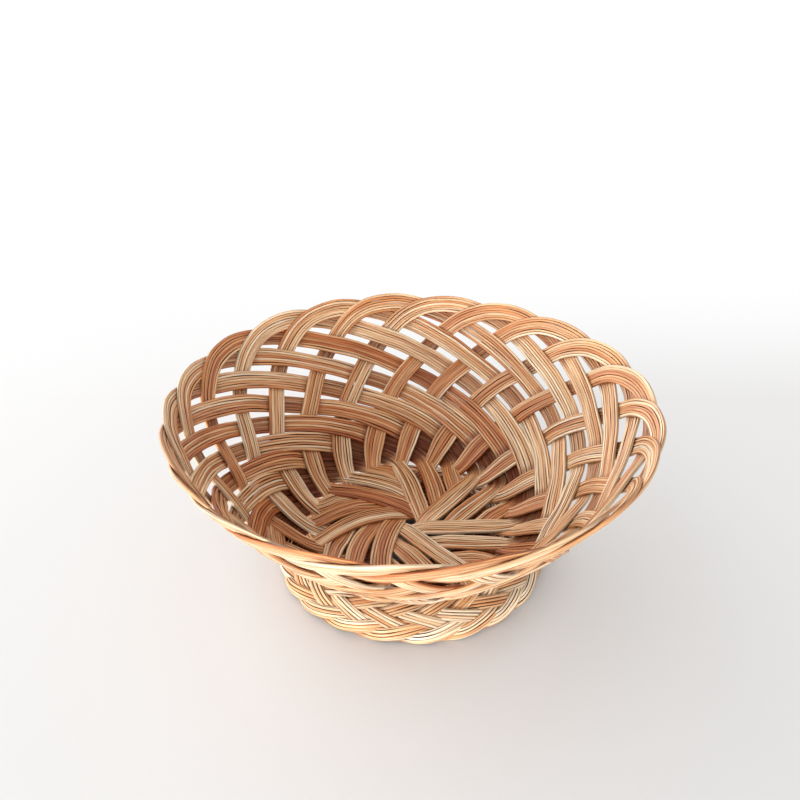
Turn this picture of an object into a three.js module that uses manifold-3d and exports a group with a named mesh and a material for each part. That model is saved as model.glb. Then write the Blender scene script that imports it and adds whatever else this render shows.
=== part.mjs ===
// Round open basket in a continuous twill weave. Each bundle is one flat ribbon of cane rods laid
// side by side. It starts in the swirl of the floor, climbs the wall on a long slant, turns over
// as a scallop of the rim, comes down the wall on a steep slant, turns under the floor, runs out
// to the foot, turns there on the table and ends tucked inside the foot.
// Millimetres and degrees, +Z up, origin on the table under the middle of the floor.
import * as THREE from "three";
import { mergeVertices } from "three/addons/utils/BufferGeometryUtils.js";
import Module from "manifold-3d";

const wasm = await Module();
wasm.setup();

// Overall sizes
const RIM_RADIUS = 115;
const HEIGHT = 89.5;
const FLOOR_RADIUS = 48;
const FLOOR_HEIGHT = 19;
const FOOT_RADIUS = 66;
const HOLE_RADIUS = 5.5;
const WALL_ANGLE_AT_FLOOR = 16;
const WALL_ANGLE_AT_RIM = 57;
const FOOT_ANGLE_AT_TOP = 15;
const FOOT_ANGLE_AT_TABLE = 70;
const FIRST_RIM_ANGLE = 8.8;

// Ribbon sizes: one thickness, a width for each stretch of the path, and the room between layers
const WALL_WIDTH = 8.5;
const SWIRL_WIDTH = 7.2;
const FLOOR_WIDTH = 5.8;
const FOOT_WIDTH = 5.3;
const THICKNESS = 1.7;
const CLEARANCE = 0.5;
const FLAT_CUT = 0.8;

// Weave counts: arms of the floor swirl, ribbons in an arm, crossings per repeat of the twill and
// crossings down the wall and up the foot
const ARMS = 7;
const RIBBONS_PER_ARM = 3;
const RIBBONS = ARMS * RIBBONS_PER_ARM;
const TWILL_REPEAT = 4;
const WALL_CROSSINGS = 11;
const FOOT_CROSSINGS = 4;

const PITCH = (2 * Math.PI) / RIBBONS;
const LAYER = THICKNESS + CLEARANCE;
const radians = THREE.MathUtils.degToRad;
const clamp = THREE.MathUtils.clamp;
const lerp = THREE.MathUtils.lerp;
const ramp = (value, start, end) => clamp((value - start) / (end - start), 0, 1);

// Corner where a line from one point at its slope meets the line through another at its slope.
function bendBetween(start, startSlope, end, endSlope) {
  const reach = end.clone().sub(start);
  const length =
    (reach.x * Math.sin(endSlope) - reach.y * Math.cos(endSlope)) / Math.sin(endSlope - startSlope);
  return new THREE.Vector2(
    start.x + length * Math.cos(startSlope),
    start.y + length * Math.sin(startSlope),
  );
}

// A turn of the ribbon: how far it has moved round, in pitches, at a depth from the turn.
const turn = (shoulder, sharpness, depth) => shoulder * Math.sqrt(1 - Math.exp(-depth / sharpness));

// Depth at which two limbs reach a crossing number.
function depthOf(crossing, crossingAt, limit) {
  let low = 0;
  let high = limit;
  for (let step = 0; step < 40; step++) {
    const middle = (low + high) / 2;
    if (crossingAt(middle) < crossing) low = middle;
    else high = middle;
  }
  return (low + high) / 2;
}

// Twill: over two and under two, as 1 and -1, with the share of a crossing that each change takes.
function twill(crossing, change) {
  const phase = (crossing - 1.5) % TWILL_REPEAT;
  const slope = phase < TWILL_REPEAT / 2 ? 1 - phase : phase - 3;
  return clamp(slope / change, -1, 1);
}

// Level round a turn: it rises from under to over, with a bias to lie over what passes below it.
const turnLevel = (side, crossing, bias) =>
  clamp((Math.sign(side) * crossing + bias) / (0.5 + bias), -1, 1);

// A station of the ribbon's path: angle round the basket, radius, height, the lean of its upper
// face in the radial plane, and its width. The offset moves it out of the weave's middle surface.
function station(angle, radius, height, lean, offset, width) {
  return {
    angle: angle + radians(FIRST_RIM_ANGLE),
    radius: radius - offset * Math.sin(lean),
    height: height + offset * Math.cos(lean),
    lean,
    width,
  };
}

// Station on a profile curve that runs inwards from the turn of the ribbon.
function profileStation(profile, share, angle, offset, width) {
  const at = profile.getPointAt(clamp(share, 0, 1));
  const along = profile.getTangentAt(clamp(share, 0, 1));
  return station(angle, at.x, at.y, Math.atan2(-along.y, -along.x), offset, width);
}

// Wall profile from the rim to the floor, as radius and height of the middle of the weave.
const rimSlope = radians(WALL_ANGLE_AT_RIM);
const floorSlope = radians(WALL_ANGLE_AT_FLOOR);
const rimPoint = new THREE.Vector2(
  RIM_RADIUS - (WALL_WIDTH / 2) * Math.cos(rimSlope) - (LAYER / 4 + THICKNESS / 2) * Math.sin(rimSlope),
  HEIGHT - (WALL_WIDTH / 2) * Math.sin(rimSlope) - (LAYER / 2 + THICKNESS / 2) * Math.cos(rimSlope),
);
const floorPoint = new THREE.Vector2(FLOOR_RADIUS, FLOOR_HEIGHT);
const wallBend = bendBetween(floorPoint, floorSlope, rimPoint, rimSlope);
const wall = new THREE.QuadraticBezierCurve(rimPoint, wallBend, floorPoint);

// Wall limbs, in pitches round the basket at a share of the wall's length below the rim. The
// climbing limb is long and eases into the swirl near the floor; the descending limb is steep.
const RIM_SHARPNESS = 0.05;
const RIM_BIAS = 0.3;
const CLIMB_SHOULDER = 0.52;
const CLIMB_SLANT = 6.4;
const CLIMB_BEND = 1.5;
const SWIRL_EASE = 9;
const SWIRL_EASE_SHARE = 0.78;
const DESCENT_SHOULDER = 0.67;
const DESCENT_SLANT = 2.75;
const TAPER_START = 0.5;
const TAPER_END = 0.8;
const climb = (share) =>
  turn(CLIMB_SHOULDER, RIM_SHARPNESS, share) +
  CLIMB_SLANT * share +
  CLIMB_BEND * share ** 3 -
  SWIRL_EASE * Math.max(0, share - SWIRL_EASE_SHARE) ** 2;
const descent = (share) => turn(DESCENT_SHOULDER, RIM_SHARPNESS, share) + DESCENT_SLANT * share;
const wallCrossing = (share) => climb(share) + descent(share);
const wallWidth = (share) => lerp(WALL_WIDTH, SWIRL_WIDTH, ramp(share, TAPER_START, TAPER_END));

function climbStations(index) {
  const flatHalf = 0.3;
  const change = 0.2;
  const stations = [];
  for (let crossing = WALL_CROSSINGS; crossing >= 1; crossing--) {
    for (const place of [crossing + flatHalf, crossing - flatHalf]) {
      if (place > wallCrossing(1) || place < 1) continue;
      const share = depthOf(place, wallCrossing, 1);
      const angle = (index - climb(share)) * PITCH;
      const level = -twill(place, change);
      stations.push(profileStation(wall, share, angle, level * LAYER, wallWidth(share)));
    }
  }
  return stations;
}

function rimStations(index) {
  const firstCrossing = depthOf(1, wallCrossing, 1);
  return [-0.8, -0.55, -0.3, 0, 0.3, 0.55, 0.8].map((side) => {
    const share = firstCrossing * side ** 2;
    const round = side < 0 ? -climb(share) : descent(share);
    const level = turnLevel(side, wallCrossing(share), RIM_BIAS);
    return profileStation(wall, share, (index + round) * PITCH, level * LAYER, WALL_WIDTH);
  });
}

function descentStations(index) {
  const step = 0.5;
  const stations = [];
  for (let crossing = 1; crossing < WALL_CROSSINGS; crossing += step) {
    const share = depthOf(crossing, wallCrossing, 1);
    const angle = (index + descent(share)) * PITCH;
    const offset = twill(crossing, step) * LAYER;
    stations.push(profileStation(wall, share, angle, offset, wallWidth(share)));
  }
  return stations;
}

// Floor swirl: each ribbon is a chord past the hole. The first of an arm reaches the hole and
// covers the ends of the other two of the arm beside it.
const SWIRL_INSET = 8;
const SWIRL_LAG = 0.45;
const FLOOR_GAP = 0.7;
const HOLE_RAMP = 0.5;
const RISE_LENGTH = 8;
const swirlRadius = FLOOR_RADIUS - SWIRL_INSET;
const swirlTurn = climb(1) + SWIRL_LAG;
const chordOffset = (place) => HOLE_RADIUS + FLOOR_WIDTH / 2 + place * (FLOOR_WIDTH + FLOOR_GAP);
const chordHeading = (index, place) =>
  (index - swirlTurn) * PITCH + Math.asin(chordOffset(place) / swirlRadius);

function floorStations(index) {
  const place = RIBBONS_PER_ARM - 1 - (index % RIBBONS_PER_ARM);
  const first = place === 0;
  const offset = chordOffset(place);
  const heading = chordHeading(index, place);
  const outer = Math.sqrt(swirlRadius ** 2 - offset ** 2);
  const coverIndex = index - (index % RIBBONS_PER_ARM) - 1;
  const between = heading - chordHeading(coverIndex, 0);
  const covered = (offset * Math.cos(between) - chordOffset(0)) / Math.sin(between);
  const inner = covered - FLOOR_WIDTH / 4;
  const clear = covered + FLOOR_WIDTH / Math.sin(between);
  const middle = -covered / 3;
  const rise = LAYER / HOLE_RAMP;
  const starts = first ? [inner, middle - rise, middle, middle + rise] : [inner, clear];
  const last = first ? middle + 2 * rise : clear + RISE_LENGTH;
  const rest = [0, 1 / 3, 2 / 3, 1].map((share) => lerp(last, outer, share));
  return [...starts, ...rest].map((along) => {
    const x = along * Math.cos(heading) + offset * Math.sin(heading);
    const y = along * Math.sin(heading) - offset * Math.cos(heading);
    const level = first
      ? clamp((along - middle) * HOLE_RAMP, -LAYER, LAYER)
      : lerp(-LAYER / 2, LAYER, ramp(along, clear, clear + RISE_LENGTH));
    const width = lerp(FLOOR_WIDTH, SWIRL_WIDTH, ramp(along, last, outer));
    return station(Math.atan2(y, x), Math.hypot(x, y), FLOOR_HEIGHT, 0, level, width);
  });
}

// Turn under the floor, from the descending limb to the limb that runs out to the foot, as pitches
// round the basket and radius. It drops one layer on the way, below its neighbours' turns.
const UNDER_INSET = 10;
const UNDER_IN_SLANT = 0.4;
const UNDER_OUT_SLANT = 1.3;
const UNDER_PITCH_RADIUS = 45;
const DROP_START = 0.4;
const DROP_END = 0.74;
const underRadius = FLOOR_RADIUS - UNDER_INSET;
const underPitch = PITCH * UNDER_PITCH_RADIUS;
const underShare = depthOf(WALL_CROSSINGS, wallCrossing, 1);
const underStart = new THREE.Vector2(descent(underShare), wall.getPointAt(underShare).x);
const underMiddle = new THREE.Vector2(
  underStart.x + (UNDER_IN_SLANT * (underStart.y - underRadius)) / underPitch,
  underRadius,
);
const underEnd = new THREE.Vector2(
  underMiddle.x + (UNDER_OUT_SLANT * (FLOOR_RADIUS - underRadius)) / underPitch,
  FLOOR_RADIUS,
);
const underTurn = new THREE.QuadraticBezierCurve(underStart, underMiddle, underEnd);
const underStartHeight = FLOOR_HEIGHT - LAYER;
const underEndHeight = underStartHeight - LAYER - 2 * CLEARANCE;

function underStations(index) {
  const narrowBy = 0.3;
  return [0, 0.2, DROP_START, 0.57, DROP_END, 0.88].map((part) => {
    const at = underTurn.getPoint(part);
    const height = lerp(underStartHeight, underEndHeight, ramp(part, DROP_START, DROP_END));
    const width = lerp(SWIRL_WIDTH, FLOOR_WIDTH, ramp(part, 0, narrowBy));
    return station((index + at.x) * PITCH, at.y, height, 0, 0, width);
  });
}

// Foot: a flared skirt from the turn under the floor down to the turn on the table. Both limbs run
// alike, in pitches round the basket at a distance up the slant from the table.
const FOOT_SHARPNESS = 2;
const FOOT_SHOULDER = 0.45;
const FOOT_SLANT = 0.09;
const footLayer = LAYER + CLEARANCE;
const tableSlope = radians(FOOT_ANGLE_AT_TABLE);
const topSlope = radians(FOOT_ANGLE_AT_TOP);
const footTurn = new THREE.Vector2(
  FOOT_RADIUS - (footLayer + THICKNESS / 2) * Math.sin(tableSlope),
  (FOOT_WIDTH / 2) * Math.sin(tableSlope) + (footLayer + THICKNESS / 2) * Math.cos(tableSlope) - FLAT_CUT,
);
const footTop = new THREE.Vector2(FLOOR_RADIUS, underEndHeight - footLayer);
const footBend = bendBetween(footTop, -topSlope, footTurn, -tableSlope);
const foot = new THREE.QuadraticBezierCurve(footTurn, footBend, footTop);
const footLength = foot.getLength();
const footRun = (distance) => turn(FOOT_SHOULDER, FOOT_SHARPNESS, distance) + FOOT_SLANT * distance;
const footCrossing = (distance) => 2 * footRun(distance);
const footRound = underEnd.x + footRun(footLength);

function footStation(index, side, distance, level) {
  const angle = (index + footRound + side * footRun(distance)) * PITCH;
  return profileStation(foot, distance / footLength, angle, level * footLayer, FOOT_WIDTH);
}

function footStations(index) {
  const step = 0.5;
  const outwards = [];
  const inwards = [];
  for (let crossing = 1; crossing <= FOOT_CROSSINGS; crossing += step) {
    const distance = depthOf(crossing, footCrossing, footLength);
    const level = twill(crossing, step);
    outwards.unshift(footStation(index, -1, distance, -level));
    inwards.push(footStation(index, 1, distance, level));
  }
  const firstCrossing = depthOf(1, footCrossing, footLength);
  const round = [-0.7, -0.35, 0, 0.35, 0.7].map((side) => {
    const distance = firstCrossing * side ** 2;
    return footStation(index, Math.sign(side), distance, turnLevel(side, footCrossing(distance), 0));
  });
  return [...outwards, ...round, ...inwards];
}

// Sweep of a flat four-cornered section along the stations, closed at both ends.
function sweepRibbon(stations) {
  const sectionCorners = [[-1, -1], [1, -1], [1, 1], [-1, 1]];
  const points = stations.map(
    (s) => new THREE.Vector3(s.radius * Math.cos(s.angle), s.radius * Math.sin(s.angle), s.height),
  );
  const corners = [];
  points.forEach((point, i) => {
    const { angle, lean, width } = stations[i];
    const before = points[Math.max(0, i - 1)];
    const after = points[Math.min(points.length - 1, i + 1)];
    const along = after.clone().sub(before).normalize();
    const up = new THREE.Vector3(
      -Math.sin(lean) * Math.cos(angle),
      -Math.sin(lean) * Math.sin(angle),
      Math.cos(lean),
    );
    const across = new THREE.Vector3().crossVectors(along, up).normalize();
    const face = new THREE.Vector3().crossVectors(across, along).normalize();
    for (const [side, layer] of sectionCorners) {
      const corner = point.clone().addScaledVector(across, (side * width) / 2);
      corners.push(corner.addScaledVector(face, (layer * THICKNESS) / 2));
    }
  });
  const size = sectionCorners.length;
  const index = [];
  for (let i = 0; i < points.length - 1; i++) {
    for (let k = 0; k < size; k++) {
      const a = size * i + k;
      const b = size * i + ((k + 1) % size);
      index.push(a, b + size, b, a, a + size, b + size);
    }
  }
  const end = size * (points.length - 1);
  index.push(0, 1, 2, 0, 2, 3, end, end + 2, end + 1, end, end + 3, end + 2);
  return new THREE.BufferGeometry().setFromPoints(corners).setIndex(index);
}

function toSolid(geometry) {
  const bare = geometry.clone();
  bare.deleteAttribute("normal");
  bare.deleteAttribute("uv");
  const merged = mergeVertices(bare);
  return new wasm.Manifold(
    new wasm.Mesh({
      numProp: 3,
      vertProperties: Float32Array.from(merged.attributes.position.array),
      triVerts: Uint32Array.from(merged.index.array),
    }),
  );
}

function toGeometry(solid) {
  const { vertProperties, triVerts } = solid.getMesh();
  const geometry = new THREE.BufferGeometry();
  geometry.setAttribute("position", new THREE.BufferAttribute(vertProperties, 3));
  geometry.setIndex(new THREE.BufferAttribute(triVerts, 1));
  return geometry;
}

// What lies below the table top is taken off, so each turn of the foot stands on a small flat.
const blockSize = 4 * RIM_RADIUS;
const tableBlock = toSolid(
  new THREE.BoxGeometry(blockSize, blockSize, blockSize).translate(0, 0, -blockSize / 2),
);

const group = new THREE.Group();
for (let index = 0; index < RIBBONS; index++) {
  const stations = [
    ...floorStations(index),
    ...climbStations(index),
    ...rimStations(index),
    ...descentStations(index),
    ...underStations(index),
    ...footStations(index),
  ];
  const mesh = new THREE.Mesh(
    toGeometry(toSolid(sweepRibbon(stations)).subtract(tableBlock)),
    new THREE.MeshStandardMaterial({ color: 0xc79a66, roughness: 0.5, metalness: 0 }),
  );
  mesh.name = "ribbon_" + String(index + 1).padStart(2, "0");
  group.add(mesh);
}

export default group;
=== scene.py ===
import math

import bpy
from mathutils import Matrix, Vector


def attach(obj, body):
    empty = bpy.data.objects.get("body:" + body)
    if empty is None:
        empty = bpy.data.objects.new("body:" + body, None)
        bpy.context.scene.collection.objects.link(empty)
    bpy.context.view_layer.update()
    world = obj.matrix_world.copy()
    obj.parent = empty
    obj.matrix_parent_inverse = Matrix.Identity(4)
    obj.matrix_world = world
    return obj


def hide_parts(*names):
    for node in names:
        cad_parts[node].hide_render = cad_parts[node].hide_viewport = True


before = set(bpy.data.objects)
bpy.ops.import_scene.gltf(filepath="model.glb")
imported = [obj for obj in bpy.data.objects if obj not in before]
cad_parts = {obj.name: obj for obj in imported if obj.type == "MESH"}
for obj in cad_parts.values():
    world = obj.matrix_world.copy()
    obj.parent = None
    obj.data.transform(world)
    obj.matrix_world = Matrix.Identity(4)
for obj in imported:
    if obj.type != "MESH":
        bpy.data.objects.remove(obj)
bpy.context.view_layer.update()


# The bundles. Each is a flat strand of peeled cane rods that runs unbroken from the swirl of the
# floor up the wall, over the rim as one scallop, down the wall, under the floor and round the
# foot. Nothing fastens it: the over-two, under-two weave holds it. Sizes are in metres.
RIM_RADIUS = 0.115
HEIGHT = 0.0895
FLOOR_RADIUS = 0.048
FLOOR_HEIGHT = 0.019
FOOT_RADIUS = 0.066
HOLE_RADIUS = 0.0025
WALL_ANGLE_AT_FLOOR = math.radians(16)
WALL_ANGLE_AT_RIM = math.radians(57)
FOOT_ANGLE_AT_TOP = math.radians(15)
FOOT_ANGLE_AT_TABLE = math.radians(70)
FIRST_RIM_ANGLE = math.radians(8.8)

ARMS = 7
BUNDLES_PER_ARM = 3
BUNDLES = ARMS * BUNDLES_PER_ARM
PITCH = 2 * math.pi / BUNDLES
TWILL_REPEAT = 4
FIRST_CHANGE = 1.5
WALL_CROSSINGS = 11
FOOT_CROSSINGS = 7
LAST_OVER = 10
FLOOR_CHANGE_DELAY = 0.4
FLOOR_CHANGE_LENGTH = 0.3

RODS = 7
ROD_WIDTH = 0.00142
ROD_THICKNESS = 0.0014
WEAVE_DEPTH = 0.00095
WALL_WIDTH = 0.0092
CLIMB_WIDTH = 0.0114
DESCENT_WIDTH = 0.0104
FLOOR_WIDTH = 0.0100
START_WIDTH = 0.0062
UNDER_WIDTH = 0.0074
FOOT_WIDTH = 0.0060

TURN_RISE = 0.5
HALVINGS = 40


def lerp(start, end, share):
    return start + (end - start) * share


def clamp(value, low, high):
    return max(low, min(high, value))


def ramp(value, start, end):
    return clamp((value - start) / (end - start), 0, 1)


class Profile:
    """A curve in the radial plane from the turn of a bundle inwards, read by share of its length."""

    STEPS = 200

    def __init__(self, start, start_slope, end, end_slope):
        reach = end - start
        length = reach.x * math.sin(start_slope) - reach.y * math.cos(start_slope)
        length /= math.sin(start_slope - end_slope)
        bend = end - length * Vector((math.cos(end_slope), math.sin(end_slope)))
        self.corners = (start, bend, end)
        self.lengths = [0]
        for step in range(self.STEPS):
            piece = self.point((step + 1) / self.STEPS) - self.point(step / self.STEPS)
            self.lengths.append(self.lengths[-1] + piece.length)
        self.length = self.lengths[-1]

    def point(self, part):
        start, bend, end = self.corners
        return start.lerp(bend, part).lerp(bend.lerp(end, part), part)

    def read(self, share):
        """Radius, height and lean of the face at a share of the length."""
        target = clamp(share, 0, 1) * self.length
        step = 0
        while step < self.STEPS - 1 and self.lengths[step + 1] < target:
            step += 1
        rest = (target - self.lengths[step]) / (self.lengths[step + 1] - self.lengths[step])
        part = (step + rest) / self.STEPS
        start, bend, end = self.corners
        along = (bend - start).lerp(end - bend, part)
        point = self.point(part)
        return point.x, point.y, math.atan2(-along.y, -along.x)


def turn(shoulder, sharpness, depth):
    """Pitches that a bundle has moved round at a depth from its turn."""
    return shoulder * math.sqrt(1 - math.exp(-depth / sharpness))


def depth_of(crossing, crossing_at, limit):
    """Depth at which two limbs reach a crossing number."""
    low, high = 0, limit
    for _ in range(HALVINGS):
        middle = (low + high) / 2
        if crossing_at(middle) < crossing:
            low = middle
        else:
            high = middle
    return (low + high) / 2


def twill(crossing, change):
    """Over two and under two, as 1 and -1, with the last change drawn in to the edge of the floor."""
    late = FLOOR_CHANGE_DELAY * ramp(crossing, LAST_OVER, LAST_OVER + FLOOR_CHANGE_LENGTH)
    phase = (crossing - late - FIRST_CHANGE) % TWILL_REPEAT
    slope = 1 - phase if phase < TWILL_REPEAT / 2 else phase - (TWILL_REPEAT - 1)
    return clamp(slope / change, -1, 1)


def short_cut(crossing, middle):
    """Share by which a stiff strand cuts across the round of the wall on its way over two others."""
    apart = (crossing - middle + TWILL_REPEAT / 2) % TWILL_REPEAT - TWILL_REPEAT / 2
    return max(0, 1 - apart ** 2)


def turn_level(side, crossing, bias):
    """Rise from under to over round a turn."""
    return clamp((math.copysign(crossing, side) + bias) / (TURN_RISE + bias), -1, 1)


def station(angle, radius, height, lean, level, width):
    """A point of a bundle's route, the way its face looks there, its width and its level in the weave."""
    angle += FIRST_RIM_ANGLE
    outwards = Vector((math.cos(angle), math.sin(angle), 0))
    face = Vector((0, 0, math.cos(lean))) - outwards * math.sin(lean)
    point = outwards * radius + Vector((0, 0, height)) + face * level * WEAVE_DEPTH
    return point, face, width, level


rim_point = Vector((
    RIM_RADIUS
    - WALL_WIDTH / 2 * math.cos(WALL_ANGLE_AT_RIM)
    - ROD_THICKNESS / 2 * math.sin(WALL_ANGLE_AT_RIM),
    HEIGHT
    - WALL_WIDTH / 2 * math.sin(WALL_ANGLE_AT_RIM)
    - ROD_THICKNESS / 2 * math.cos(WALL_ANGLE_AT_RIM),
))
floor_point = Vector((FLOOR_RADIUS, FLOOR_HEIGHT))
wall = Profile(rim_point, WALL_ANGLE_AT_RIM, floor_point, WALL_ANGLE_AT_FLOOR)

RIM_SHARPNESS = 0.05
RIM_BIAS = 0.3
RIM_SIDES = (-0.8, -0.55, -0.3, 0, 0.3, 0.55, 0.8)
WIDENING_SHARES = (0.5, 0.85)
CLIMB_SHOULDER = 0.52
CLIMB_SLANT = 6.4
CLIMB_BEND = 1.5
CLIMB_CHANGE = 0.2
CLIMB_FLAT = 0.3
CLIMB_SHORT_CUT = 0.9
CLIMB_SHORT_CUT_MIDDLE = 3.5
CLIMB_END = LAST_OVER + 0.8
CLIMB_TAPER = (LAST_OVER - 0.5, LAST_OVER + 0.6)
TURN_WIDTH = 0.0095
SINK_LEVEL = 2.0
SINK_CROSSINGS = (LAST_OVER - 2, LAST_OVER - 0.7)
SWIRL_EASE = 4
SWIRL_EASE_SHARE = 0.78
DESCENT_SHOULDER = 0.67
DESCENT_SLANT = 2.75
DESCENT_EASE = 0.95
DESCENT_EASE_SHARE = 0.45
DESCENT_CHANGE = 0.5
DESCENT_SHORT_CUT = 0.3
DESCENT_SHORT_CUT_MIDDLE = 5.5
DESCENT_TAPER = (LAST_OVER - 0.5, LAST_OVER + 1)
END_WIDTH = 0.0078
SPAN_LEVEL = 0.7
SPAN_CROSSINGS = (LAST_OVER - 2.5, LAST_OVER - 1.5)
TWIST_SIDE = math.radians(10)
TWIST = 0.85


def climb(share):
    """Pitches that a climbing limb lies behind its scallop at a share of the wall below the rim."""
    ease = SWIRL_EASE * max(0, share - SWIRL_EASE_SHARE) ** 2
    return turn(CLIMB_SHOULDER, RIM_SHARPNESS, share) + CLIMB_SLANT * share + CLIMB_BEND * share ** 3 - ease


def descent(share):
    """Pitches that a descending limb lies ahead of its scallop at a share of the wall below the rim."""
    ease = DESCENT_EASE * max(0, share - DESCENT_EASE_SHARE) ** 2
    return turn(DESCENT_SHOULDER, RIM_SHARPNESS, share) + DESCENT_SLANT * share - ease


def twist(index, share):
    """Pitches by which the floor has turned in the wall, one way on one side and back on the other."""
    angle = FIRST_RIM_ANGLE + (index + DESCENT_SLANT) * PITCH
    return TWIST * math.cos(angle - TWIST_SIDE) * max(0, share - DESCENT_EASE_SHARE) ** 2


def wall_crossing(share):
    return climb(share) + descent(share)


def span(crossing):
    """How far a descent bends: it spans the turn of the wall into the floor nearly straight."""
    return lerp(1, SPAN_LEVEL, ramp(crossing, *SPAN_CROSSINGS))


def sink(crossing):
    """How far a climb bends: it lies deep in the turn of the wall into the floor."""
    return lerp(1, SINK_LEVEL, ramp(crossing, *SINK_CROSSINGS))


def wall_station(share, pitches, level, low_width):
    width = lerp(WALL_WIDTH, low_width, ramp(share, *WIDENING_SHARES))
    return station(pitches * PITCH, *wall.read(share), level, width)


def climb_route(index):
    route = []
    for crossing in range(WALL_CROSSINGS, 0, -1):
        for place in (crossing + CLIMB_FLAT, crossing - CLIMB_FLAT):
            if 1 <= place < CLIMB_END:
                share = depth_of(place, wall_crossing, 1)
                level = -twill(place, CLIMB_CHANGE) * sink(place)
                level += CLIMB_SHORT_CUT * short_cut(place, CLIMB_SHORT_CUT_MIDDLE)
                width = lerp(CLIMB_WIDTH, TURN_WIDTH, ramp(place, *CLIMB_TAPER))
                route.append(wall_station(share, index - climb(share), level, width))
    return route


def rim_route(index):
    route = []
    first_crossing = depth_of(1, wall_crossing, 1)
    for side in RIM_SIDES:
        share = first_crossing * side ** 2
        pitches = index + (descent(share) if side >= 0 else -climb(share))
        level = turn_level(side, wall_crossing(share), RIM_BIAS)
        route.append(wall_station(share, pitches, level, WALL_WIDTH))
    return route


def descent_route(index):
    route = []
    for half in range(2, 2 * WALL_CROSSINGS):
        crossing = half / 2
        share = depth_of(crossing, wall_crossing, 1)
        pitches = index + descent(share) - twist(index, share)
        level = twill(crossing, DESCENT_CHANGE) * span(crossing)
        level += DESCENT_SHORT_CUT * short_cut(crossing, DESCENT_SHORT_CUT_MIDDLE)
        width = lerp(DESCENT_WIDTH, END_WIDTH, ramp(crossing, *DESCENT_TAPER))
        route.append(wall_station(share, pitches, level, width))
    return route


ARM_SHIFT = 1
LANE_WIDTH = 0.0084
LANE_GAP = 0.0004
LANE_STEPS = 4
LANE_END_WIDTH = 0.0085
LANE_END_TAPER = 0.010
SWIRL_LAG = -0.40
SWIRL_DIP = 0.002
HOLE_RAMP = 0.004
HOLE_LEVEL = 1.2
HOLE_SHARE = 1 / 3
TUCKED_LENGTH = LANE_WIDTH / 3
TUCKED_LEVEL = -0.6
COVER_WIDTH = 0.6 * LANE_WIDTH
RISE_LENGTH = 0.005
START_TAPER = 0.015
ARM_BOW = 0.0055
BOW_SIDE = math.radians(175)
swirl_turn = climb(1) + SWIRL_LAG


def lane_offset(place):
    """How far a lane of an arm passes beside the middle of the floor."""
    return HOLE_RADIUS + LANE_WIDTH / 2 + place * (LANE_WIDTH + LANE_GAP)


def lane_heading(index, place):
    return (index - swirl_turn) * PITCH + math.asin(lane_offset(place) / FLOOR_RADIUS)


def bow(index):
    """How far an arm bows out: the arms on one side are bent, those on the other straight."""
    angle = FIRST_RIM_ANGLE + (index - swirl_turn) * PITCH
    return ARM_BOW * ((1 + math.cos(angle - BOW_SIDE)) / 2) ** 2


def floor_route(index):
    """The first bundle of an arm reaches the hole and covers the ends of the arm beside it."""
    member = (index + ARM_SHIFT) % BUNDLES_PER_ARM
    place = BUNDLES_PER_ARM - 1 - member
    offset = lane_offset(place)
    heading = lane_heading(index, place)
    outer = math.sqrt(FLOOR_RADIUS ** 2 - offset ** 2) - SWIRL_DIP
    cover = index - member - 1
    between = heading - lane_heading(cover, 0)
    covered = (offset * math.cos(between) - lane_offset(0)) / math.sin(between)
    inner = covered - TUCKED_LENGTH - bow(cover)
    arm_bow = bow(index - member + 1)
    clear = covered + COVER_WIDTH / math.sin(between)
    middle = -covered * HOLE_SHARE
    first = place == 0
    starts = (inner, middle - HOLE_RAMP, middle, middle + HOLE_RAMP) if first else (inner, clear)
    last = middle + 2 * HOLE_RAMP if first else min(clear, outer) + RISE_LENGTH
    outer = max(outer, last + RISE_LENGTH)
    rest = (lerp(last, outer, step / LANE_STEPS) for step in range(LANE_STEPS + 1))
    route = []
    for along in (*starts, *rest):
        part = ramp(along, 0, outer)
        aside = offset + arm_bow * 4 * part * (1 - part)
        x = along * math.cos(heading) + aside * math.sin(heading)
        y = along * math.sin(heading) - aside * math.cos(heading)
        if first:
            level = clamp((along - middle) / HOLE_RAMP, -1, 1) * HOLE_LEVEL
        else:
            level = lerp(TUCKED_LEVEL, 1, ramp(along, clear, clear + RISE_LENGTH))
        width = lerp(START_WIDTH, FLOOR_WIDTH, ramp(along, inner, inner + START_TAPER))
        width = lerp(width, LANE_END_WIDTH, ramp(along, outer - LANE_END_TAPER, outer))
        route.append(station(math.atan2(y, x), math.hypot(x, y), FLOOR_HEIGHT, 0, level, width))
    return route


UNDER_INSET = 0.036
UNDER_PITCH_RADIUS = 0.045
UNDER_IN_SLANT = 0.4
UNDER_OUT_SLANT = 1.3
UNDER_PARTS = (0, 0.2, 0.4, 0.57, 0.74, 0.88)
UNDER_DROP = 0.0032
UNDER_DROP_PARTS = (0.4, 0.74)
UNDER_NARROWING = (0, 0.3)
# The deep under level also makes the cane material paint these strands in its darkest painted shade.
UNDER_LEVEL = -2.0
UNDER_LEVEL_PARTS = (0, 0.2)
under_radius = FLOOR_RADIUS - UNDER_INSET
under_pitch = PITCH * UNDER_PITCH_RADIUS
under_start = Vector((descent(1), FLOOR_RADIUS))
under_middle = Vector((
    under_start.x + UNDER_IN_SLANT * (under_start.y - under_radius) / under_pitch,
    under_radius,
))
under_end = Vector((
    under_middle.x + UNDER_OUT_SLANT * (FLOOR_RADIUS - under_radius) / under_pitch,
    FLOOR_RADIUS,
))


def under_route(index):
    route = []
    for part in UNDER_PARTS:
        at = under_start.lerp(under_middle, part).lerp(under_middle.lerp(under_end, part), part)
        height = FLOOR_HEIGHT - UNDER_DROP * ramp(part, *UNDER_DROP_PARTS)
        width = lerp(END_WIDTH, UNDER_WIDTH, ramp(part, *UNDER_NARROWING))
        level = lerp(0, UNDER_LEVEL, ramp(part, *UNDER_LEVEL_PARTS))
        pitches = index + at.x - twist(index, 1) * (1 - part)
        route.append(station(pitches * PITCH, at.y, height, 0, level, width))
    return route


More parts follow.
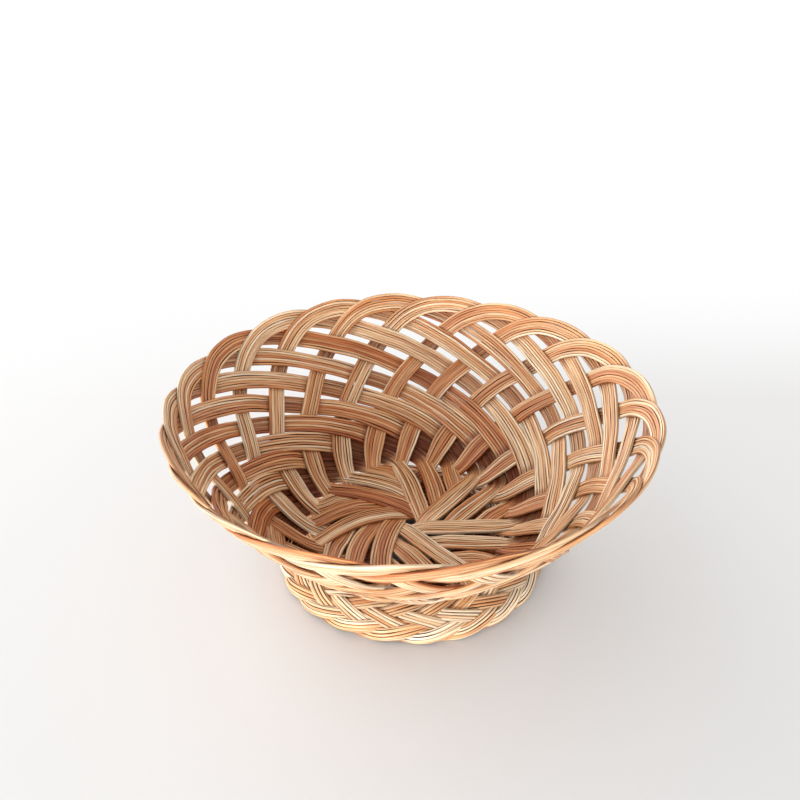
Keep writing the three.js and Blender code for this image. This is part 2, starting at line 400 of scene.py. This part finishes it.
FOOT_SHARPNESS = 0.003
FOOT_SHOULDER = 0.75
FOOT_SLANT = 150
FOOT_LEVEL = 1.15
FOOT_CHANGE = 0.5
FOOT_SIDES = (-0.7, -0.35, 0, 0.35, 0.7)
FOOT_DROP = 0.0027
FOOT_CLEARANCE = 0.0004
foot_turn = Vector((
    FOOT_RADIUS - FOOT_LEVEL * WEAVE_DEPTH - ROD_THICKNESS / 2,
    FOOT_WIDTH / 2 * math.sin(FOOT_ANGLE_AT_TABLE)
    + ROD_THICKNESS * math.cos(FOOT_ANGLE_AT_TABLE)
    + FOOT_CLEARANCE,
))
foot_top = Vector((FLOOR_RADIUS, FLOOR_HEIGHT - UNDER_DROP - WEAVE_DEPTH - FOOT_DROP))
foot = Profile(foot_turn, -FOOT_ANGLE_AT_TABLE, foot_top, -FOOT_ANGLE_AT_TOP)


def foot_run(distance):
    """Pitches that a limb has moved round at a distance up the foot from its turn on the table."""
    return turn(FOOT_SHOULDER, FOOT_SHARPNESS, distance) + FOOT_SLANT * distance


def foot_crossing(distance):
    return 2 * foot_run(distance)


foot_middle = under_end.x + foot_run(foot.length)


def foot_station(index, side, distance, level):
    pitches = index + foot_middle + side * foot_run(distance)
    return station(pitches * PITCH, *foot.read(distance / foot.length), level * FOOT_LEVEL, FOOT_WIDTH)


def foot_route(index):
    outwards = []
    inwards = []
    for half in range(2, 2 * FOOT_CROSSINGS + 1):
        crossing = half / 2
        distance = depth_of(crossing, foot_crossing, foot.length)
        level = twill(crossing, FOOT_CHANGE)
        outwards.insert(0, foot_station(index, -1, distance, -level))
        inwards.append(foot_station(index, 1, distance, level))
    round_turn = []
    first_crossing = depth_of(1, foot_crossing, foot.length)
    for side in FOOT_SIDES:
        distance = first_crossing * side ** 2
        level = turn_level(side, foot_crossing(distance), 0)
        round_turn.append(foot_station(index, math.copysign(1, side), distance, level))
    return outwards + round_turn + inwards


def bundle_route(index):
    """A chain of edges along the bundle, with the way across it, its face, its width and its level."""
    stations = floor_route(index) + climb_route(index) + rim_route(index)
    stations += descent_route(index) + under_route(index) + foot_route(index)
    points = [point for point, _, _, _ in stations]
    last = len(points) - 1
    mesh = bpy.data.meshes.new("route")
    mesh.from_pydata(points, [(step, step + 1) for step in range(last)], [])
    for name in ("across", "facing"):
        mesh.attributes.new(name, "FLOAT_VECTOR", "POINT")
    for name in ("width", "level"):
        mesh.attributes.new(name, "FLOAT", "POINT")
    for step, (_, face, width, level) in enumerate(stations):
        along = points[min(step + 1, last)] - points[max(step - 1, 0)]
        side = along.cross(face).normalized()
        mesh.attributes["across"].data[step].vector = side
        mesh.attributes["facing"].data[step].vector = side.cross(along).normalized()
        mesh.attributes["width"].data[step].value = width
        # The cane material paints shade from this level: faces sunk under crossing strands are painted
        # darker.
        mesh.attributes["level"].data[step].value = level
    return mesh


class Wire:
    """An output socket in an expression: each operator adds a Math node to its tree."""

    def __init__(self, socket):
        self.socket = socket
        self.tree = socket.id_data

    @staticmethod
    def node(tree, kind, inputs, output=0, stops=(), **settings):
        """Adds a node, sets it up, fills or links its sockets and gives one of its outputs."""
        made = tree.nodes.new(kind)
        for name, value in settings.items():
            setattr(made, name, value)
        for count, (place, colour) in enumerate(stops):
            elements = made.color_ramp.elements
            stop = elements[count] if count < len(elements) else elements.new(place)
            stop.position = place
            stop.color = colour
        for key, value in inputs.items():
            if isinstance(value, Wire):
                tree.links.new(value.socket, made.inputs[key])
            else:
                made.inputs[key].default_value = value
        return Wire(made.outputs[output])

    def math(self, operation, *others):
        return Wire.node(self.tree, "ShaderNodeMath", dict(enumerate((self, *others))), operation=operation)

    def __add__(self, other):
        return self.math("ADD", other)

    def __sub__(self, other):
        return self.math("SUBTRACT", other)

    def __rsub__(self, other):
        return Wire.node(self.tree, "ShaderNodeMath", {0: other, 1: self}, operation="SUBTRACT")

    def __mul__(self, other):
        return self.math("MULTIPLY", other)

    def __truediv__(self, other):
        return self.math("DIVIDE", other)

    def __mod__(self, other):
        return self.math("FLOORED_MODULO", other)

    __radd__ = __add__
    __rmul__ = __mul__


ROD_SIDES = 12
ROD_SCALES = (0.97, 1.16)
CREST_SWELL = 0.35
FLANK_SWELL = 0.75
WANDER = 0.0005
WANDER_LENGTH = 0.03
SWAY = 0.0012
SWAY_LENGTH = 0.04
SPREAD = 0.16
SPREAD_LENGTH = 0.05
LIFT = 0.0004
LIFT_LENGTH = 0.022
ROUTE_STEP = 0.0018
SEED_STEP = 16
NOISE_STEP = 7.3
NOISE_REACH = 90


def bundle_tree():
    """Lays rods side by side along a route and gives each its own tint, wander and thickness."""
    tree = bpy.data.node_groups.new("cane_bundle", "GeometryNodeTree")
    sockets = (
        ("Route", "NodeSocketGeometry"),
        ("Rods", "NodeSocketInt"),
        ("Rod Width", "NodeSocketFloat"),
        ("Rod Thickness", "NodeSocketFloat"),
        ("Wander", "NodeSocketFloat"),
        ("Sway", "NodeSocketFloat"),
        ("Lift", "NodeSocketFloat"),
        ("Step", "NodeSocketFloat"),
        ("Seed", "NodeSocketInt"),
        ("Cane", "NodeSocketMaterial"),
    )
    tree.interface.new_socket("Rods", in_out="OUTPUT", socket_type="NodeSocketGeometry")
    for name, kind in sockets:
        tree.interface.new_socket(name, in_out="INPUT", socket_type=kind)
    given = tree.nodes.new("NodeGroupInput").outputs

    def node(kind, inputs, output=0, **settings):
        return Wire.node(tree, kind, inputs, output, **settings)

    def attribute(name, data_type="FLOAT"):
        return node("GeometryNodeInputNamedAttribute", {"Name": name}, data_type=data_type)

    def random(low, high, seed):
        identity = rod + Wire(given["Seed"]) * SEED_STEP
        return node("FunctionNodeRandomValue", {2: low, 3: high, 7: identity, 8: seed}, output=1)

    def noise(length, row, line):
        place = node("ShaderNodeCombineXYZ", {0: along * (1 / length), 1: line, 2: row})
        level = node("ShaderNodeTexNoise", {"Vector": place, "Scale": 1, "Detail": 1})
        return (level - 0.5) * 2

    def swelled(level, power):
        """Swells a circle's coordinate, so that the rod is flatter on that side than an oval."""
        return level.math("ABSOLUTE").math("POWER", power) * level.math("SIGN")

    def scaled(vector, length):
        return node("ShaderNodeVectorMath", {0: vector, "Scale": length}, operation="SCALE")

    def store(geometry, name, value):
        return node("GeometryNodeStoreNamedAttribute", {0: geometry, "Name": name, "Value": value})

    rod_width = Wire(given["Rod Width"])
    rod_thickness = Wire(given["Rod Thickness"])
    rods = Wire(given["Rods"])
    curve = node("GeometryNodeMeshToCurve", {0: Wire(given["Route"])})
    curve = node("GeometryNodeCurveSplineType", {0: curve}, spline_type="NURBS")
    curve = node("GeometryNodeResampleCurve", {0: curve, "Length": Wire(given["Step"])}, mode="LENGTH")
    copies = node("GeometryNodeDuplicateElements", {0: curve, "Amount": rods}, domain="SPLINE")
    rod = Wire(copies.socket.node.outputs["Duplicate Index"])
    along = node("GeometryNodeSplineParameter", {}, output=1)
    width = attribute("width")
    share = rod / (rods - 1) - 0.5
    squeeze = (1 - width / (rods * rod_width)).math("MAXIMUM", 0)
    bundle_line = Wire(given["Seed"]) * NOISE_STEP
    spread = width * (1 + noise(SPREAD_LENGTH, row=6, line=bundle_line) * SPREAD)
    fill = (spread / (rods * rod_width)).math("MAXIMUM", 1)
    wander = noise(WANDER_LENGTH, row=1, line=random(0, NOISE_REACH, seed=1)) * Wire(given["Wander"])
    sway = noise(SWAY_LENGTH, row=7, line=bundle_line) * Wire(given["Sway"])
    shift = share * (spread - rod_width) + wander + sway
    lift = noise(LIFT_LENGTH, row=2, line=random(0, NOISE_REACH, seed=2)) * Wire(given["Lift"])
    lift = lift + (rod % 2 - 0.5) * squeeze * rod_thickness
    offset = node(
        "ShaderNodeVectorMath",
        {
            0: scaled(attribute("across", "FLOAT_VECTOR"), shift),
            1: scaled(attribute("facing", "FLOAT_VECTOR"), lift),
        },
        operation="ADD",
    )
    lines = node("GeometryNodeSetPosition", {0: copies, "Offset": offset})
    lines = store(lines, "along", along)
    lines = store(lines, "tint", random(0, 1, seed=3))
    lines = store(lines, "fade", random(0, 1, seed=4))
    lines = store(lines, "batch", node("FunctionNodeRandomValue", {7: Wire(given["Seed"]), 8: 6}, output=1))
    lines = store(lines, "side", share * 2)
    lines = node(
        "GeometryNodeSetCurveNormal",
        {0: lines, "Normal": attribute("facing", "FLOAT_VECTOR")},
        mode="FREE",
    )
    profile = node("GeometryNodeCurvePrimitiveCircle", {"Resolution": ROD_SIDES, "Radius": 1})
    place = node("GeometryNodeInputPosition", {})
    crest = node("ShaderNodeSeparateXYZ", {0: place})
    flank = node("ShaderNodeSeparateXYZ", {0: place}, output=1)
    profile = store(profile, "crest", crest)
    profile = store(profile, "flank", flank)
    flattened = node(
        "ShaderNodeCombineXYZ",
        {
            0: swelled(crest, CREST_SWELL) * rod_thickness * 0.5,
            1: swelled(flank, FLANK_SWELL) * rod_width * 0.5,
        },
    )
    profile = node("GeometryNodeSetPosition", {0: profile, "Position": flattened})
    mesh = node(
        "GeometryNodeCurveToMesh",
        {0: lines, 1: profile, "Scale": random(*ROD_SCALES, seed=5) * fill, "Fill Caps": True},
    )
    mesh = node("GeometryNodeSetShadeSmooth", {0: mesh, "Shade Smooth": True})
    mesh = node("GeometryNodeRealizeInstances", {0: mesh})
    mesh = node("GeometryNodeSetMaterial", {0: mesh, "Material": Wire(given["Cane"])})
    tree.links.new(mesh.socket, tree.nodes.new("NodeGroupOutput").inputs[0])
    return tree


def srgb(red, green, blue):
    """A colour written as it shows, from 0 to 255, as the shader takes it."""
    def linear(level):
        level /= 255
        return level / 12.92 if level <= 0.04045 else ((level + 0.055) / 1.055) ** 2.4
    return linear(red), linear(green), linear(blue), 1


CANE_TONES = (
    (0.08, srgb(248, 228, 196)),
    (0.30, srgb(236, 195, 149)),
    (0.50, srgb(215, 153, 98)),
    (0.70, srgb(187, 105, 51)),
    (0.92, srgb(138, 60, 24)),
)
FIRST_TONE = -0.215
TINT_TONES = 0.42
BATCH_TONES = 0.34
PATCH_TONES = 0.6
PAINTED_LIGHT_TONE = 0.16
BACK_CRESTS = (0.3, -0.3)
FOOT_HEIGHTS = (0.011, 0.017)
WINDOW_LIGHT_TONE = 0.12
WINDOW_REACH = (0.03, 0.1)
FLUSH_COLOUR = srgb(188, 98, 50)
FLUSH_LEVELS = (0.5, 0.68)
FLUSH_AMOUNT = 0.5
FLUSH_LOST_IN_LIGHT = 0.25
STREAK_COLOUR = srgb(120, 54, 24)
STREAK_LEVELS = (0.5, 0.66)
STREAK_AMOUNT = 0.75
SEAM_SHADE_COLOUR = srgb(44, 12, 3)
SEAM_LEVELS = (0.33, 0.50)
SEAM_SHADE_LOSS_IN_LIGHT = 0.5
SEAM_HEIGHTS = (0.03, 0.07)
GROOVE_FLANKS = (0.40, 0.86)
EDGE_FLANKS = (0.65, 0.8)
EDGE_SHADE_LOSS = 0.6
UNDER_SHADE = (0.62, 0.50, 0.42, 1)
UNDER_LEVELS = (-0.1, -0.9)
PIT_SHADE = (0.38, 0.23, 0.15, 1)
PIT_LEVELS = (-0.9, -1.6)
RELIEF = 0.35
RELIEF_DEPTH = 0.0002
STREAK_RELIEF = 0.6
CANE_ROUGHNESS = 0.42
STREAK_ROUGHNESS = 0.25
GRAIN_ROUGHNESS = 0.6
VARNISH = 0.6
VARNISH_ROUGHNESS = 0.25
CANE_SPECULAR = 0.25


def cane_material():
    """Varnished cane with painted light and shade: painted light makes it paler on its back, on the foot
    and on the side facing the window, and painted shade darkens the seams between rods and the pits under
    crossings.
    """
    material = bpy.data.materials.new("varnished_cane")
    material.use_nodes = True
    tree = material.node_tree
    shader = tree.nodes["Principled BSDF"]

    def node(kind, inputs, output=0, **settings):
        return Wire.node(tree, kind, inputs, output, **settings)

    def attribute(name):
        return node("ShaderNodeAttribute", {}, output=2, attribute_name=name)

    def noise(scale, detail, stretch, shift):
        place = node(
            "ShaderNodeCombineXYZ",
            {0: flank * scale, 1: crest * scale, 2: attribute("along") * stretch + fade * shift},
        )
        return node(
            "ShaderNodeTexNoise",
            {"Vector": place, "Scale": 1, "Detail": detail, "Roughness": GRAIN_ROUGHNESS},
        )

    def smooth(value, low, high):
        return node("ShaderNodeMapRange", {0: value, 1: low, 2: high}, interpolation_type="SMOOTHSTEP")

    def mix(factor, first, second, blend="MIX"):
        return node(
            "ShaderNodeMix",
            {0: factor, 6: first, 7: second},
            output=2,
            data_type="RGBA",
            blend_type=blend,
        )

    flank = attribute("flank")
    crest = attribute("crest")
    fade = attribute("fade")
    streak = noise(scale=3.5, detail=4, stretch=45, shift=300)
    patch = noise(scale=0.5, detail=2, stretch=14, shift=500)
    flush = noise(scale=1.1, detail=2, stretch=22, shift=900)
    fibre = noise(scale=9, detail=3, stretch=160, shift=700)
    seam = noise(scale=0.3, detail=1, stretch=30, shift=1300)
    where = node("ShaderNodeTexCoord", {}, output=3)
    height = node("ShaderNodeSeparateXYZ", {0: where}, output=2)
    # Painted light: the right side of the basket, whose inner wall faces the window lamp, is painted paler.
    painted_window_light = smooth(node("ShaderNodeSeparateXYZ", {0: where}), *WINDOW_REACH)
    # Painted light: the outer faces of the rods and the foot are painted paler, as where strong light falls
    # on them, and the red flush fades there.
    painted_light = smooth(crest, *BACK_CRESTS).math("MAXIMUM", 1 - smooth(height, *FOOT_HEIGHTS))
    tone = attribute("tint") * TINT_TONES + attribute("batch") * BATCH_TONES + patch * PATCH_TONES
    tone = tone + FIRST_TONE - painted_light * PAINTED_LIGHT_TONE - painted_window_light * WINDOW_LIGHT_TONE
    base = node("ShaderNodeValToRGB", {0: tone}, stops=CANE_TONES)
    flushing = smooth(flush, *FLUSH_LEVELS) * (FLUSH_AMOUNT - painted_light * FLUSH_LOST_IN_LIGHT)
    flushed = mix(flushing, base, FLUSH_COLOUR)
    streaked = mix(smooth(streak, *STREAK_LEVELS) * STREAK_AMOUNT, flushed, STREAK_COLOUR)
    # Painted shade: the flanks of each rod are painted dark in patches, as shade in the crevices between
    # rods. There is less of it on a bundle's open outer edge and where painted light falls high on the
    # outside.
    edge = smooth(attribute("side") * flank, *EDGE_FLANKS)
    groove_shade = smooth(flank.math("ABSOLUTE"), *GROOVE_FLANKS) * (1 - edge * EDGE_SHADE_LOSS)
    seam_shade_loss = painted_light * smooth(height, *SEAM_HEIGHTS) * SEAM_SHADE_LOSS_IN_LIGHT
    seam_shade = groove_shade * smooth(seam, *SEAM_LEVELS) * (1 - seam_shade_loss)
    # Painted shade: faces sunk under crossing strands are multiplied darker, and darker still in the deep
    # pits of the turn into the floor.
    sunk = attribute("level") * crest
    shaded = mix(smooth(sunk, *UNDER_LEVELS), streaked, UNDER_SHADE, "MULTIPLY")
    pit = smooth(sunk, *PIT_LEVELS)
    dimmed = mix(pit, shaded, PIT_SHADE, "MULTIPLY")
    coloured = mix(seam_shade, dimmed, SEAM_SHADE_COLOUR)
    grain = fibre + streak * STREAK_RELIEF
    relief = node("ShaderNodeBump", {"Height": grain, "Strength": RELIEF, "Distance": RELIEF_DEPTH})
    varnish = VARNISH - groove_shade.math("MAXIMUM", pit) * VARNISH
    tree.links.new(coloured.socket, shader.inputs["Base Color"])
    tree.links.new((CANE_ROUGHNESS + streak * STREAK_ROUGHNESS).socket, shader.inputs["Roughness"])
    tree.links.new(relief.socket, shader.inputs["Normal"])
    tree.links.new(varnish.socket, shader.inputs["Coat Weight"])
    shader.inputs["Coat Roughness"].default_value = VARNISH_ROUGHNESS
    shader.inputs["Specular IOR Level"].default_value = CANE_SPECULAR
    return material


def set_inputs(modifier, values):
    for item in modifier.node_group.interface.items_tree:
        if item.name in values and item.in_out == "INPUT":
            modifier[item.identifier] = values[item.name]


cane = cane_material()
rods_tree = bundle_tree()
for index in range(BUNDLES):
    number = f"{index + 1:02d}"
    bundle = bpy.data.objects.new("bundle_" + number, bundle_route(index))
    bpy.context.collection.objects.link(bundle)
    layout = bundle.modifiers.new("rods", "NODES")
    layout.node_group = rods_tree
    set_inputs(layout, {
        "Rods": RODS,
        "Rod Width": ROD_WIDTH,
        "Rod Thickness": ROD_THICKNESS,
        "Wander": WANDER,
        "Sway": SWAY,
        "Lift": LIFT,
        "Step": ROUTE_STEP,
        "Seed": index,
        "Cane": cane,
    })
    evaluated = bundle.evaluated_get(bpy.context.evaluated_depsgraph_get())
    bundle.data = bpy.data.meshes.new_from_object(evaluated)
    bundle.modifiers.clear()
    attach(bundle, "root")
    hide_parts("ribbon_" + number)


# The table. A flat board under the basket with a pale, soft paint. Away from the foot a white glow seen
# only by the camera is painted over it, a painted light that lifts the basket's shadow, and far off it
# fades to the white room behind it.
TABLE_HALF = 1.5
TABLE_COLOUR = srgb(210, 208, 207)
TABLE_ROUGHNESS = 0.6
FADE_START = 0.05
FADE_END = 0.32
DISTANT_START = TABLE_HALF / 3
DISTANT_END = TABLE_HALF * 0.8
SHADOW_LIFT = 0.3
SHADOW_LIFT_START = 0.05
SHADOW_LIFT_END = 0.09
table_mesh = bpy.data.meshes.new("table")
table_mesh.from_pydata(
    [(x * TABLE_HALF, y * TABLE_HALF, 0) for x, y in ((-1, -1), (1, -1), (1, 1), (-1, 1))],
    [],
    [(0, 1, 2, 3)],
)
table = bpy.data.objects.new("table", table_mesh)
bpy.context.collection.objects.link(table)
table_paint = bpy.data.materials.new("table_paint")
table_paint.use_nodes = True
paint_tree = table_paint.node_tree
paint = paint_tree.nodes["Principled BSDF"]
paint.inputs["Base Color"].default_value = TABLE_COLOUR
paint.inputs["Roughness"].default_value = TABLE_ROUGHNESS


def paint_fade(value, start, end, most):
    return Wire.node(
        paint_tree,
        "ShaderNodeMapRange",
        {0: value, 1: start, 2: end, 4: most},
        interpolation_type="SMOOTHSTEP",
    )


table_place = Wire.node(paint_tree, "ShaderNodeTexCoord", {}, output=3)
away = Wire.node(paint_tree, "ShaderNodeSeparateXYZ", {0: table_place}, output=1)
reach = Wire.node(paint_tree, "ShaderNodeVectorMath", {0: table_place}, output=1, operation="LENGTH")
fading = paint_fade(away, FADE_START, FADE_END, 1)
distant = paint_fade(reach, DISTANT_START, DISTANT_END, 1)
# Painted light: a white glow seen only by the camera lifts the basket's shadow on the table away from the
# foot.
shadow_lift = paint_fade(reach, SHADOW_LIFT_START, SHADOW_LIFT_END, SHADOW_LIFT)
white = Wire.node(paint_tree, "ShaderNodeEmission", {"Color": (1, 1, 1, 1), "Strength": 1})
seen = Wire.node(paint_tree, "ShaderNodeLightPath", {})
surface = Wire.node(
    paint_tree,
    "ShaderNodeMixShader",
    {0: fading.math("MAXIMUM", shadow_lift).math("MAXIMUM", distant) * seen, 1: Wire(paint.outputs[0]), 2: white},
)
paint_tree.links.new(surface.socket, paint_tree.nodes["Material Output"].inputs["Surface"])
table.data.materials.append(table_paint)


# Light. Two soft lamps at the left and behind as from windows, a low one in front as from a pale
# wall that they shine on, and an even pale room round them.
ROOM_WALLS = 1.62
ROOM_CEILING = 0.58
CEILING_START = 0.8
world = bpy.data.worlds.new("room")
bpy.context.scene.world = world
world.use_nodes = True
room = world.node_tree
towards = Wire.node(room, "ShaderNodeTexCoord", {}, output=0)
upwards = Wire.node(room, "ShaderNodeSeparateXYZ", {0: towards}, output=2)
brightness = Wire.node(
    room,
    "ShaderNodeMapRange",
    {0: upwards, 2: CEILING_START, 3: ROOM_WALLS, 4: ROOM_CEILING},
)
room.nodes["Background"].inputs["Color"].default_value = (1, 1, 1, 1)
room.links.new(brightness.socket, room.nodes["Background"].inputs["Strength"])


def lamp(name, place, target, size, power, colour):
    light = bpy.data.lights.new(name, "AREA")
    light.size = size
    light.energy = power
    light.color = colour
    holder = bpy.data.objects.new(name, light)
    holder.location = place
    holder.rotation_euler = (Vector(target) - Vector(place)).to_track_quat("-Z", "Y").to_euler()
    bpy.context.collection.objects.link(holder)


lamp("window", (-1.6, -0.4, 1.5), (0, 0, 0.04), size=3.0, power=27, colour=(0.96, 0.99, 1))
lamp("back_window", (-1.1, 1.5, 0.6), (0, 0, 0.05), size=1.6, power=26, colour=(0.97, 0.99, 1))
lamp("front_wall", (-0.7, -1.6, 0.05), (0, 0, 0.05), size=0.5, power=54, colour=(1, 1, 0.995))


# Camera. It stands in front, a little over the rim, as in the photograph, and looks down into the
# bowl through a lens that takes in the basket and some table round it.
CAMERA_TARGET = Vector((-0.00541, 0, 0.09012))
CAMERA_DISTANCE = 0.4610
CAMERA_ELEVATION = math.radians(31.69)
CAMERA_SENSOR = 36
CAMERA_LENS = 45
camera_data = bpy.data.cameras.new("camera")
camera_data.sensor_width = CAMERA_SENSOR
camera_data.lens = CAMERA_LENS
camera = bpy.data.objects.new("camera", camera_data)
back = Vector((0, -math.cos(CAMERA_ELEVATION), math.sin(CAMERA_ELEVATION)))
camera.location = CAMERA_TARGET + CAMERA_DISTANCE * back
camera.rotation_euler = (math.pi / 2 - CAMERA_ELEVATION, 0, 0)
bpy.context.collection.objects.link(camera)
bpy.context.scene.camera = camera
bpy.context.scene.view_settings.view_transform = "Standard"
